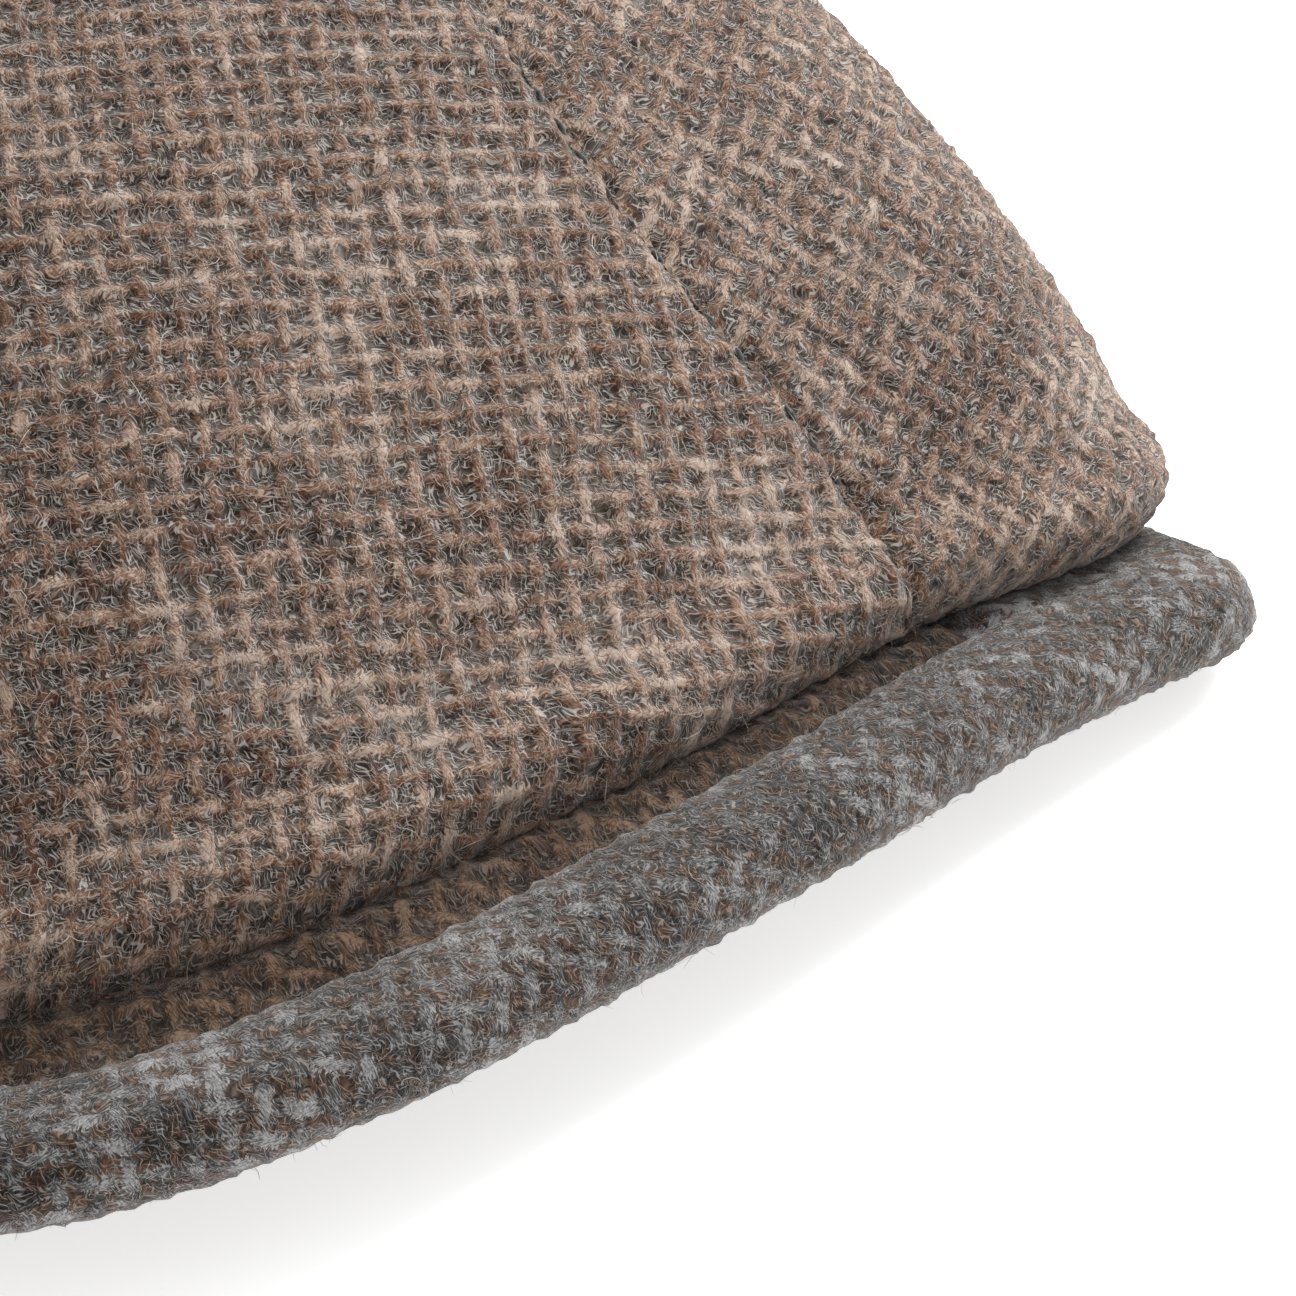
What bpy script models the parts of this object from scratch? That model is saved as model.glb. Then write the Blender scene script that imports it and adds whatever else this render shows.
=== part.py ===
"""A flat cap of wool tweed with a short padded peak, resting on its rim and the corners of its peak.

Metres, +Z up, the peak pointing along -Y. The pieces are drawn round the middle of the head opening,
and moved at the end so that the origin lies under the middle of the whole cap, on the surface that it
rests on. The crown is a dome: a meridian climbs from its lower edge to the top, in each direction
round the head. Its three panels are cut from that dome, and keep a hair's breadth between them along
the seams. The peak is a crescent whose top follows the crown's lower edge.
"""

import math
from collections import namedtuple

import bmesh
import bpy
from mathutils import Vector

# Driving sizes of the crown
RIM_HALF_WIDTH = 0.084
RIM_BACK_REACH = 0.1035
CROWN_FRONT_REACH = 0.1333
CROWN_HEIGHT = 0.0914
FRONT_EDGE_HEIGHT = 0.0169
CLOTH = 0.0022
SEAM_GAP = 0.0003
CROWN_TO_PEAK_GAP = 0.0005

# Driving sizes of the peak
PEAK_REACH = 0.150
PEAK_HALF_WIDTH = 0.0948
PEAK_THICKNESS = 0.007
PEAK_BAND_WIDTH = 0.0095
PEAK_COVER_CLOTH = 0.002
PEAK_COVER_TURN = 37.0
COVER_BED_MARGIN = 1.0
COVER_BED_RAMP = 2.0
COVER_BED_WALL = 0.0002
NARROW_BAND_SHARE = 0.6
OPENING_HALF_WIDTH = 0.080
OPENING_FRONT_REACH = 0.101

# Faces along and across each sheet
TOP_PANEL_FACES = (40, 16)
SIDE_PANEL_FACES = (33, 12)
PEAK_FACES_LONG = 52
PEAK_EDGE_FACES = 6
SHARP_ANGLE = math.radians(40)

# Step on the disc over which the dome's slope is measured
SLOPE_STEP = 0.002

# The dome, a row for each direction: across is a share of the rim's half width, along of the front
# reach or, past the middle, of the back reach, and rise of the front edge's height. They place the
# lower edge. Lean is the slope that the cloth leaves it with, in degrees, 90 being upright. Foot
# and crest are the reach of the meridian's lower and upper handles, as shares of the crown's height
# and of the rim's half width.
DomeRow = namedtuple("DomeRow", "across along rise lean foot crest")
DOME = (
    DomeRow(0.000, -1.000, 1.00, 61.0, 0.303, 1.040),
    DomeRow(0.508, -0.864, 0.92, 66.0, 0.317, 0.950),
    DomeRow(0.808, -0.713, 0.78, 77.0, 0.330, 0.800),
    DomeRow(1.064, -0.571, 0.52, 90.0, 0.330, 0.665),
    DomeRow(1.040, -0.375, 0.28, 95.0, 0.345, 0.590),
    DomeRow(1.012, -0.200, 0.12, 97.0, 0.370, 0.555),
    DomeRow(1.000, 0.000, 0.00, 98.0, 0.390, 0.550),
    DomeRow(0.783, 0.636, 0.00, 97.0, 0.420, 0.690),
    DomeRow(0.000, 1.000, 0.00, 97.0, 0.420, 0.880),
)

# The seam between the top panel and a side panel, seen from above, from the front edge over the crown
# to the back: across is a share of the rim's half width, along of the front or the back reach. Its
# ends are directions on the lower edge, in degrees from the front.
SeamRow = namedtuple("SeamRow", "across along")
SEAM = (
    SeamRow(0.788, -0.713),
    SeamRow(0.756, -0.698),
    SeamRow(0.720, -0.683),
    SeamRow(0.673, -0.668),
    SeamRow(0.601, -0.626),
    SeamRow(0.536, -0.548),
    SeamRow(0.488, -0.450),
    SeamRow(0.452, -0.338),
    SeamRow(0.429, -0.210),
    SeamRow(0.415, -0.075),
    SeamRow(0.408, 0.077),
    SeamRow(0.405, 0.251),
    SeamRow(0.404, 0.425),
    SeamRow(0.400, 0.599),
    SeamRow(0.388, 0.773),
    SeamRow(0.371, 0.908),
)
SEAM_FRONT_TURN = 34.7
SEAM_BACK_TURN = 162.8
# Shares of the seam at which the side panel's top corners lie
SEAM_FRONT_END = 0.30
SEAM_BACK_END = 0.88
SEARCH_STEPS = 64
SEARCH_HALVINGS = 20

# The peak, a row for each station along it: turn is the direction of its inner end, on the head
# opening. Its outer end is a share of the peak's half width across and of its reach along.
PeakRow = namedtuple("PeakRow", "turn across along")
PEAK = (
    PeakRow(0.0, 0.000, -1.000),
    PeakRow(10.0, 0.241, -0.956),
    PeakRow(20.0, 0.489, -0.855),
    PeakRow(27.0, 0.636, -0.783),
    PeakRow(34.0, 0.796, -0.693),
    PeakRow(39.0, 0.904, -0.636),
    PeakRow(43.0, 0.976, -0.598),
    PeakRow(47.0, 1.000, -0.562),
    PeakRow(52.0, 0.977, -0.521),
    PeakRow(57.0, 0.937, -0.455),
    PeakRow(62.0, 0.910, -0.365),
    PeakRow(68.0, 0.890, -0.250),
)


def curve_through(knots, values, wanted):
    """The value at `wanted` of a smooth curve through the values at the knots."""
    last = len(knots) - 1
    i = 0
    while i < last - 1 and wanted > knots[i + 1]:
        i += 1
    span = knots[i + 1] - knots[i]
    share = (wanted - knots[i]) / span
    slopes = []
    for k in (i, i + 1):
        before, after = max(k - 1, 0), min(k + 1, last)
        if before == k or after == k:
            slopes.append((values[after] - values[before]) / (knots[after] - knots[before]))
            continue
        low, high = knots[k] - knots[before], knots[after] - knots[k]
        rise_low = (values[k] - values[before]) / low
        rise_high = (values[after] - values[k]) / high
        slopes.append((high * rise_low + low * rise_high) / (low + high))
    square, cube = share**2, share**3
    return (
        (2 * cube - 3 * square + 1) * values[i]
        + (cube - 2 * square + share) * span * slopes[0]
        + (3 * square - 2 * cube) * values[i + 1]
        + (cube - square) * span * slopes[1]
    )


def dome_knots():
    """The dome's rows as turn, reach, rise, lean, foot and crest, mirrored past the front and the back."""
    rows = []
    for row in DOME:
        x = row.across * RIM_HALF_WIDTH
        y = row.along * (CROWN_FRONT_REACH if row.along < 0 else RIM_BACK_REACH)
        rows.append(
            (
                math.degrees(math.atan2(x, -y)),
                math.hypot(x, y),
                row.rise * FRONT_EDGE_HEIGHT,
                row.lean,
                row.foot * CROWN_HEIGHT,
                row.crest * RIM_HALF_WIDTH,
            )
        )
    before = [(-row[0], *row[1:]) for row in rows[2:0:-1]]
    after = [(360 - row[0], *row[1:]) for row in rows[-2:-4:-1]]
    return list(zip(*(before + rows + after)))


KNOTS = dome_knots()


def lower_edge(turn):
    """Reach and height of the crown's lower edge in a direction."""
    turn = abs(turn)
    reach = curve_through(KNOTS[0], KNOTS[1], turn)
    return reach, max(0.0, curve_through(KNOTS[0], KNOTS[2], turn))


def meridian(turn, climb):
    """Reach and height on the dome, `climb` of the way from the lower edge to the top."""
    reach, height = lower_edge(turn)
    lean, foot, crest = (curve_through(KNOTS[0], KNOTS[k], abs(turn)) for k in (3, 4, 5))
    lean = math.radians(lean)
    reaches = (reach, reach - foot * math.cos(lean), crest, 0.0)
    heights = (height, height + foot * math.sin(lean), CROWN_HEIGHT, CROWN_HEIGHT)
    left = 1 - climb
    weights = (left**3, 3 * climb * left**2, 3 * climb**2 * left, climb**3)
    return (
        sum(w * r for w, r in zip(weights, reaches)),
        sum(w * h for w, h in zip(weights, heights)),
    )


def at_turn(turn, reach, height=0.0):
    angle = math.radians(turn)
    return Vector((reach * math.sin(angle), -reach * math.cos(angle), height))


def dome_point(spot):
    """The dome laid out flat is a disc whose rim is the lower edge and whose middle is the top."""
    turn = math.degrees(math.atan2(spot.x, -spot.y))
    reach, height = meridian(turn, 1 - spot.length)
    return at_turn(turn, reach, height)


def dome_normal(spot, on_edge):
    """Outward normal of the dome, level along the lower edge so that the edge is flat underneath."""
    east, north = Vector((SLOPE_STEP, 0)), Vector((0, SLOPE_STEP))
    across = dome_point(spot + east) - dome_point(spot - east)
    along = dome_point(spot + north) - dome_point(spot - north)
    normal = across.cross(along)
    if on_edge:
        normal.z = 0.0
    return normal.normalized()


def turn_spot(turn, length=1.0):
    """A spot on the disc in a direction. Its rim has the length 1."""
    return at_turn(turn, length).xy


def spot_over(x, y):
    """The disc spot of the dome's point over a place on the ground."""
    turn, reach = math.degrees(math.atan2(x, -y)), math.hypot(x, y)
    low = high = 1.0
    while meridian(turn, low)[0] < reach:
        high, low = low, low - 1 / SEARCH_STEPS
    for _ in range(SEARCH_HALVINGS):
        half = (low + high) / 2
        if meridian(turn, half)[0] < reach:
            high = half
        else:
            low = half
    return turn_spot(turn, 1 - low)


def seam_spots():
    """The seam's rows as spots on the disc, with its two ends on the disc's rim."""
    spots = [turn_spot(SEAM_FRONT_TURN)]
    for row in SEAM:
        reach = CROWN_FRONT_REACH if row.along < 0 else RIM_BACK_REACH
        spots.append(spot_over(row.across * RIM_HALF_WIDTH, row.along * reach))
    return spots + [turn_spot(SEAM_BACK_TURN)]


SEAM_SPOTS = seam_spots()


def seam_spot(share):
    """A spot on the disc, a share of the way along the seam from the front to the back."""
    knots = [i / (len(SEAM_SPOTS) - 1) for i in range(len(SEAM_SPOTS))]
    spot = Vector([curve_through(knots, [at[k] for at in SEAM_SPOTS], share) for k in (0, 1)])
    return spot.normalized() if share in (0.0, 1.0) else spot


def top_panel_spot(along, across):
    """Disc spot of the top panel: along runs from the front edge to the back, across from -1 to 1."""
    seam = seam_spot(along)
    if along in (0.0, 1.0):
        turn = SEAM_FRONT_TURN * across if along == 0.0 else 180 - (180 - SEAM_BACK_TURN) * across
        return turn_spot(turn)
    seam_bow = 1 - math.sqrt(1 - seam_spot(0.0).x ** 2)
    bow = 1 - math.sqrt(1 - (seam_spot(0.0).x * across) ** 2)
    middle = -1 + 2 * along_middle(along)
    return Vector((seam.x * across, middle + (seam.y - middle) * bow / seam_bow))


def along_middle(along):
    """How far along the centre line, as a share, the panel's row lies that ends at this seam share."""
    seam_y = seam_spot(along).y
    front_y, back_y = seam_spot(0.0).y, seam_spot(1.0).y
    return (seam_y - front_y) / (back_y - front_y)


def side_panel_spot(along, across):
    """Disc spot of a side panel, a patch between the lower edge and the seam, front end to back end."""
    front, back = seam_spot(0.0), seam_spot(1.0)
    edge = turn_spot(SEAM_FRONT_TURN + (SEAM_BACK_TURN - SEAM_FRONT_TURN) * along)
    seam = seam_spot(SEAM_FRONT_END + (SEAM_BACK_END - SEAM_FRONT_END) * along)
    front_end = seam_spot(SEAM_FRONT_END * across)
    back_end = seam_spot(1 - (1 - SEAM_BACK_END) * across)
    corners = (
        front * (1 - along) * (1 - across)
        + back * along * (1 - across)
        + seam_spot(SEAM_FRONT_END) * (1 - along) * across
        + seam_spot(SEAM_BACK_END) * along * across
    )
    return edge * (1 - across) + seam * across + front_end * (1 - along) + back_end * along - corners


def drawn_back(rows, gap):
    """The grid with its outer rows moved a gap towards their neighbours, where a flag is set."""
    moved = [list(row) for row in rows]
    for i, row in enumerate(rows):
        for j, (point, open_sides) in enumerate(row):
            for di, dj in open_sides:
                towards = rows[i + di][j + dj][0] - point
                moved[i][j] = (moved[i][j][0] + towards.normalized() * gap, open_sides)
    return [[point for point, _ in row] for row in moved]


def sheet_object(name, outer, inner, material, collection):
    """A closed sheet of cloth between two grids of points of the same size."""
    mesh = bpy.data.meshes.new(name)
    shape = bmesh.new()
    layers = [[[shape.verts.new(p) for p in row] for row in grid] for grid in (outer, inner)]
    rows, columns = len(outer), len(outer[0])
    for layer in layers:
        for i in range(rows - 1):
            for j in range(columns - 1):
                shape.faces.new((layer[i][j], layer[i][j + 1], layer[i + 1][j + 1], layer[i + 1][j]))
    rim = [(0, j) for j in range(columns)] + [(i, columns - 1) for i in range(1, rows)]
    rim += [(rows - 1, j) for j in range(columns - 2, -1, -1)] + [(i, 0) for i in range(rows - 2, 0, -1)]
    for (i, j), (k, m) in zip(rim, rim[1:] + rim[:1]):
        shape.faces.new((layers[0][i][j], layers[0][k][m], layers[1][k][m], layers[1][i][j]))
    bmesh.ops.recalc_face_normals(shape, faces=shape.faces)
    shape.to_mesh(mesh)
    shape.free()
    mesh.materials.append(material)
    mesh.shade_smooth()
    mesh.set_sharp_from_angle(angle=SHARP_ANGLE)
    made = bpy.data.objects.new(name, mesh)
    collection.objects.link(made)
    return made


def dome_sheet(name, spot_at, faces, on_edge, open_sides, side, material, collection):
    """A panel of the crown: outer and inner layers of the dome over a grid of disc spots."""
    rows, columns = faces
    spots = [[spot_at(i / rows, j / columns) for j in range(columns + 1)] for i in range(rows + 1)]
    grids = []
    for depth in (0.0, CLOTH):
        points = []
        for i, row in enumerate(spots):
            points.append([])
            for j, spot in enumerate(row):
                place = dome_point(spot) - dome_normal(spot, on_edge(i, j)) * depth
                place.x *= side
                points[i].append((place, open_sides(i, j)))
        grids.append(drawn_back(points, SEAM_GAP))
    return sheet_object(name, *grids, material, collection)


def top_panel(material, collection):
    rows, columns = TOP_PANEL_FACES

    def open_sides(i, j):
        return [(0, 1)] * (j == 0) + [(0, -1)] * (j == columns)

    return dome_sheet(
        "top_panel",
        lambda along, across: top_panel_spot(along, 2 * across - 1),
        TOP_PANEL_FACES,
        lambda i, j: i in (0, rows),
        open_sides,
        1,
        material,
        collection,
    )


def side_panel(name, side, material, collection):
    rows, columns = SIDE_PANEL_FACES

    def open_sides(i, j):
        return [(1, 0)] * (i == 0) + [(-1, 0)] * (i == rows) + [(0, -1)] * (j == columns)

    return dome_sheet(
        name,
        side_panel_spot,
        SIDE_PANEL_FACES,
        lambda i, j: j == 0,
        open_sides,
        side,
        material,
        collection,
    )


def peak_top_height(spot):
    """Height of the peak's top: it carries the crown's lower edge, a gap below it."""
    return lower_edge(math.degrees(math.atan2(abs(spot.x), -spot.y)))[1] - CROWN_TO_PEAK_GAP


def opening_edge(turn):
    """The peak's inner edge, on the front of the head opening's oval."""
    angle = math.radians(turn)
    across, along = math.sin(angle) / OPENING_HALF_WIDTH, math.cos(angle) / OPENING_FRONT_REACH
    return at_turn(turn, 1 / math.hypot(across, along)).xy


def peak_ends(turn):
    """Inner and outer end of the peak's section whose inner end lies in this direction."""
    knots = [-row.turn for row in PEAK[2:0:-1]] + [row.turn for row in PEAK]
    across = [-row.across for row in PEAK[2:0:-1]] + [row.across for row in PEAK]
    along = [row.along for row in PEAK[2:0:-1]] + [row.along for row in PEAK]
    outer = Vector(
        (
            curve_through(knots, across, abs(turn)) * PEAK_HALF_WIDTH,
            curve_through(knots, along, abs(turn)) * PEAK_REACH,
        )
    )
    inner = opening_edge(abs(turn))
    if turn < 0:
        inner.x, outer.x = -inner.x, -outer.x
    return inner, outer


def recess_depth(turn):
    """Depth of the bed that the top cover lies in. It closes past the cover's end."""
    past = max(0.0, abs(turn) - PEAK_COVER_TURN - COVER_BED_MARGIN)
    return (PEAK_COVER_CLOTH + SEAM_GAP) * max(0.0, 1 - past / COVER_BED_RAMP)


def peak_section(turn):
    """The peak's closed section: underside, round outer edge, grey band and the cover's bed."""
    inner, outer = peak_ends(turn)
    inwards = (inner - outer).normalized()
    length = (inner - outer).length
    thickness = min(PEAK_THICKNESS, peak_top_height(outer))
    radius = thickness / 2
    band = min(PEAK_BAND_WIDTH, NARROW_BAND_SHARE * length)

    def point(from_edge, depth):
        spot = outer + inwards * from_edge
        top = peak_top_height(spot)
        local = min(PEAK_THICKNESS, top)
        return Vector((spot.x, spot.y, top - min(depth, local)))

    points = [point(length, PEAK_THICKNESS), point(band, PEAK_THICKNESS)]
    for k in range(PEAK_EDGE_FACES + 1):
        angle = math.pi * k / PEAK_EDGE_FACES
        from_edge = radius * (1 - math.sin(angle))
        depth = radius * (1 + math.cos(angle))
        points.append(point(from_edge, depth))
    points.append(point(band, 0.0))
    points.append(point(band + COVER_BED_WALL, recess_depth(turn)))
    points.append(point(length, recess_depth(turn)))
    return points


def lofted(name, sections, material, collection):
    """A closed body through closed sections of as many points each."""
    mesh = bpy.data.meshes.new(name)
    shape = bmesh.new()
    rings = [[shape.verts.new(p) for p in section] for section in sections]
    count = len(rings[0])
    for one, other in zip(rings, rings[1:]):
        for k in range(count):
            shape.faces.new((one[k], one[(k + 1) % count], other[(k + 1) % count], other[k]))
    shape.faces.new(rings[0])
    shape.faces.new(rings[-1])
    bmesh.ops.triangulate(shape, faces=[f for f in shape.faces if len(f.verts) > 4])
    bmesh.ops.recalc_face_normals(shape, faces=shape.faces)
    shape.to_mesh(mesh)
    shape.free()
    mesh.materials.append(material)
    mesh.shade_smooth()
    mesh.set_sharp_from_angle(angle=SHARP_ANGLE)
    made = bpy.data.objects.new(name, mesh)
    collection.objects.link(made)
    return made


def peak(material, collection):
    last = PEAK[-1].turn
    turns = [last * (2 * k / PEAK_FACES_LONG - 1) for k in range(PEAK_FACES_LONG + 1)]
    return lofted("peak", [peak_section(turn) for turn in turns], material, collection)


def cover_section(turn):
    """The top cover's section: a sheet in its bed, from the grey band to the peak's inner edge."""
    inner, outer = peak_ends(turn)
    inwards = (inner - outer).normalized()
    length = (inner - outer).length
    start = PEAK_BAND_WIDTH + COVER_BED_WALL + SEAM_GAP
    points = []
    for from_edge, depth in (
        (start, PEAK_COVER_CLOTH),
        (start, 0.0),
        ((start + length) / 2, 0.0),
        (length, 0.0),
        (length, PEAK_COVER_CLOTH),
        ((start + length) / 2, PEAK_COVER_CLOTH),
    ):
        spot = outer + inwards * from_edge
        points.append(Vector((spot.x, spot.y, peak_top_height(spot) - depth)))
    return points


def peak_top_cover(material, collection):
    count = PEAK_FACES_LONG // 2
    turns = [PEAK_COVER_TURN * (2 * k / count - 1) for k in range(count + 1)]
    return lofted("peak_top_cover", [cover_section(t) for t in turns], material, collection)


def cloth_material(name, colour):
    material = bpy.data.materials.new(name)
    material.use_nodes = True
    shader = material.node_tree.nodes["Principled BSDF"]
    shader.inputs["Base Color"].default_value = (*colour, 1.0)
    shader.inputs["Roughness"].default_value = 0.95
    shader.inputs["Metallic"].default_value = 0.0
    material.diffuse_color = (*colour, 1.0)
    return material


def centre_on_ground(pieces):
    """Moves the pieces' points together: the whole cap's middle over the origin, its lowest at zero."""
    points = [vertex.co for piece in pieces for vertex in piece.data.vertices]
    low = Vector([min(point[k] for point in points) for k in range(3)])
    high = Vector([max(point[k] for point in points) for k in range(3)])
    shift = Vector(((low.x + high.x) / 2, (low.y + high.y) / 2, low.z))
    for point in points:
        point -= shift


def main():
    for stale in list(bpy.data.objects):
        bpy.data.objects.remove(stale, do_unlink=True)
    collection = bpy.data.collections.new("flat_cap")
    bpy.context.scene.collection.children.link(collection)
    brown, grey = (0.17, 0.12, 0.09), (0.13, 0.13, 0.13)
    pieces = (
        top_panel(cloth_material("top_panel_tweed", brown), collection),
        side_panel("side_panel_left", 1, cloth_material("side_panel_left_tweed", brown), collection),
        side_panel("side_panel_right", -1, cloth_material("side_panel_right_tweed", brown), collection),
        peak(cloth_material("peak_tweed", grey), collection),
        peak_top_cover(cloth_material("peak_cover_tweed", brown), collection),
    )
    centre_on_ground(pieces)


main()
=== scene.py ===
"""The looks of a flat cap in fuzzy brown and grey wool tweed, on a pale floor.

Metres, +Z up, the peak pointing along -Y. The crown's cloth is drawn on the same dome as the solids, on
a net of cells that follows the yarns, four cells to a repeat of the weave, so that every yarn stands
proud of the well beside it. The yarns' colours follow the same net, as a UV map counted in repeats.
"""

import math
from collections import namedtuple

import bpy
import numpy as np
from mathutils import Matrix, Vector
from mathutils.kdtree import KDTree


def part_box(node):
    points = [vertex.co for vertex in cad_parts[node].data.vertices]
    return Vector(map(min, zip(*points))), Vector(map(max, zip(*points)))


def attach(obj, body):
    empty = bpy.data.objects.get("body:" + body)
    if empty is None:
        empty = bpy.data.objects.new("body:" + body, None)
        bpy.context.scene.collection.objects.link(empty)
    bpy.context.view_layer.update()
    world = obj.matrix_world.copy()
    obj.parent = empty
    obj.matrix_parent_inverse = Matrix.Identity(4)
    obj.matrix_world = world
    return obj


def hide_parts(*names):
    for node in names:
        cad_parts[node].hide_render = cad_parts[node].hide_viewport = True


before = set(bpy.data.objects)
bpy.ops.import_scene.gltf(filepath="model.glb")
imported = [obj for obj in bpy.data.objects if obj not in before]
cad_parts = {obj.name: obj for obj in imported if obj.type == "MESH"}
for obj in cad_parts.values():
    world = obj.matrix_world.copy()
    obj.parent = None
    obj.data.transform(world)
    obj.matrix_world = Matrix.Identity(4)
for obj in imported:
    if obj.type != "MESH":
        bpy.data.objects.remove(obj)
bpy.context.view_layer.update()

TAU = 2 * math.pi
TINY = 1e-9

# Sizes that the solids have too
RIM_HALF_WIDTH = 0.084
RIM_BACK_REACH = 0.1035
CROWN_FRONT_REACH = 0.1333
CROWN_HEIGHT = 0.0914
FRONT_EDGE_HEIGHT = 0.0169
CLOTH = 0.0022
CROWN_TO_PEAK_GAP = 0.0005
PEAK_REACH = 0.150
PEAK_HALF_WIDTH = 0.0948
PEAK_THICKNESS = 0.007
PEAK_BAND_WIDTH = 0.0095
PEAK_COVER_CLOTH = 0.002
PEAK_COVER_TURN = 37.0
OPENING_HALF_WIDTH = 0.080
OPENING_FRONT_REACH = 0.101

DomeRow = namedtuple("DomeRow", "across along rise lean foot crest")
DOME = (
    DomeRow(0.000, -1.000, 1.00, 61.0, 0.303, 1.040),
    DomeRow(0.508, -0.864, 0.92, 66.0, 0.317, 0.950),
    DomeRow(0.808, -0.713, 0.78, 77.0, 0.330, 0.800),
    DomeRow(1.064, -0.571, 0.52, 90.0, 0.330, 0.665),
    DomeRow(1.040, -0.375, 0.28, 95.0, 0.345, 0.590),
    DomeRow(1.012, -0.200, 0.12, 97.0, 0.370, 0.555),
    DomeRow(1.000, 0.000, 0.00, 98.0, 0.390, 0.550),
    DomeRow(0.783, 0.636, 0.00, 97.0, 0.420, 0.690),
    DomeRow(0.000, 1.000, 0.00, 97.0, 0.420, 0.880),
)
# Across and along, as shares of the crown's reach, and of the peak's after the turn of the section
SEAM = (
    (0.788, -0.713), (0.756, -0.698), (0.720, -0.683), (0.673, -0.668), (0.601, -0.626), (0.536, -0.548),
    (0.488, -0.450), (0.452, -0.338), (0.429, -0.210), (0.415, -0.075), (0.408, 0.077), (0.405, 0.251),
    (0.404, 0.425), (0.400, 0.599), (0.388, 0.773), (0.371, 0.908),
)  # fmt: skip
SEAM_FRONT_TURN = 34.7
SEAM_BACK_TURN = 162.8
PEAK = (
    (0.0, 0.000, -1.000), (10.0, 0.241, -0.956), (20.0, 0.489, -0.855), (27.0, 0.636, -0.783),
    (34.0, 0.796, -0.693), (39.0, 0.904, -0.636), (43.0, 0.976, -0.598), (47.0, 1.000, -0.562),
    (52.0, 0.977, -0.521), (57.0, 0.937, -0.455), (62.0, 0.910, -0.365), (68.0, 0.890, -0.250),
)  # fmt: skip
PEAK_LAST_TURN = 68.0

# The head opening's middle, which the dome is drawn round
OPENING = np.array([0.0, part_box("peak")[0][1] + PEAK_REACH, 0.0])

# The weave's repeat, and the net's cells in it
REPEAT = 0.0023
CELLS = 4
CELL = REPEAT / CELLS


# Curves and the dome

SHORTEST = 1e-12
SLOPE_STEP = 0.002
CLIMB_STEPS = 2001
SEAM_STEPS = 1201


def curve_through(knots, values, wanted):
    """A smooth curve through the values at the knots, read at many places at once."""
    knots, values = np.asarray(knots, float), np.asarray(values, float)
    spans = np.diff(knots)
    rises = np.diff(values) / spans
    slopes = np.empty_like(values)
    slopes[0], slopes[-1] = rises[0], rises[-1]
    slopes[1:-1] = (spans[1:] * rises[:-1] + spans[:-1] * rises[1:]) / (spans[1:] + spans[:-1])
    i = np.clip(np.searchsorted(knots, wanted) - 1, 0, len(knots) - 2)
    span = spans[i]
    share = (wanted - knots[i]) / span
    square, cube = share**2, share**3
    return (
        (2 * cube - 3 * square + 1) * values[i]
        + (cube - 2 * square + share) * span * slopes[i]
        + (3 * square - 2 * cube) * values[i + 1]
        + (cube - square) * span * slopes[i + 1]
    )


def dome_knots():
    """The dome's rows as turn, reach, rise, lean, foot and crest, mirrored past the front and the back."""
    rows = []
    for row in DOME:
        x = row.across * RIM_HALF_WIDTH
        y = row.along * (CROWN_FRONT_REACH if row.along < 0 else RIM_BACK_REACH)
        turn = math.degrees(math.atan2(x, -y))
        rise = row.rise * FRONT_EDGE_HEIGHT
        foot, crest = row.foot * CROWN_HEIGHT, row.crest * RIM_HALF_WIDTH
        rows.append((turn, math.hypot(x, y), rise, row.lean, foot, crest))
    before = [(-row[0], *row[1:]) for row in rows[2:0:-1]]
    after = [(360 - row[0], *row[1:]) for row in rows[-2:-4:-1]]
    return np.array(before + rows + after).T


KNOTS = dome_knots()


def lower_edge(turn):
    """Reach and height of the crown's lower edge in these directions."""
    turn = np.abs(turn)
    reach = curve_through(KNOTS[0], KNOTS[1], turn)
    return reach, np.maximum(0.0, curve_through(KNOTS[0], KNOTS[2], turn))


def meridian(turn, climb):
    """Reach and height on the dome, climb of the way from the lower edge to the top."""
    reach, height = lower_edge(turn)
    lean, foot, crest = (curve_through(KNOTS[0], KNOTS[k], np.abs(turn)) for k in (3, 4, 5))
    lean = np.radians(lean)
    left = 1 - climb
    weights = (left**3, 3 * climb * left**2, 3 * climb**2 * left, climb**3)
    reaches = (reach, reach - foot * np.cos(lean), crest, 0.0)
    heights = (height, height + foot * np.sin(lean), CROWN_HEIGHT, CROWN_HEIGHT)
    return (
        sum(w * r for w, r in zip(weights, reaches)),
        sum(w * h for w, h in zip(weights, heights)),
    )


def turn_of(spots):
    """The direction of each spot from the middle, in degrees from the front."""
    return np.degrees(np.arctan2(spots[..., 0], -spots[..., 1]))


def dome(spots):
    """Points of the dome at spots on a disc, whose rim is the lower edge and whose middle is the top."""
    turn = turn_of(spots)
    reach, height = meridian(turn, 1 - np.hypot(spots[..., 0], spots[..., 1]))
    angle = np.radians(turn)
    return np.stack([reach * np.sin(angle), -reach * np.cos(angle), height], -1)


def unit(vectors):
    """The vectors' directions."""
    return vectors / np.maximum(np.linalg.norm(vectors, axis=-1, keepdims=True), SHORTEST)


def distance_along(points):
    """How far along a line of points each of them lies."""
    return np.concatenate([[0], np.cumsum(np.linalg.norm(np.diff(points, axis=0), axis=-1))])


def dome_steps(spots):
    """How far the dome's points move over a small step on the disc, sideways and backwards."""
    aside, back = np.array([SLOPE_STEP, 0.0]), np.array([0.0, SLOPE_STEP])
    return dome(spots + aside) - dome(spots - aside), dome(spots + back) - dome(spots - back)


def dome_normal(spots):
    """The way out of the dome at each spot."""
    return unit(np.cross(*dome_steps(spots)))


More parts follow.
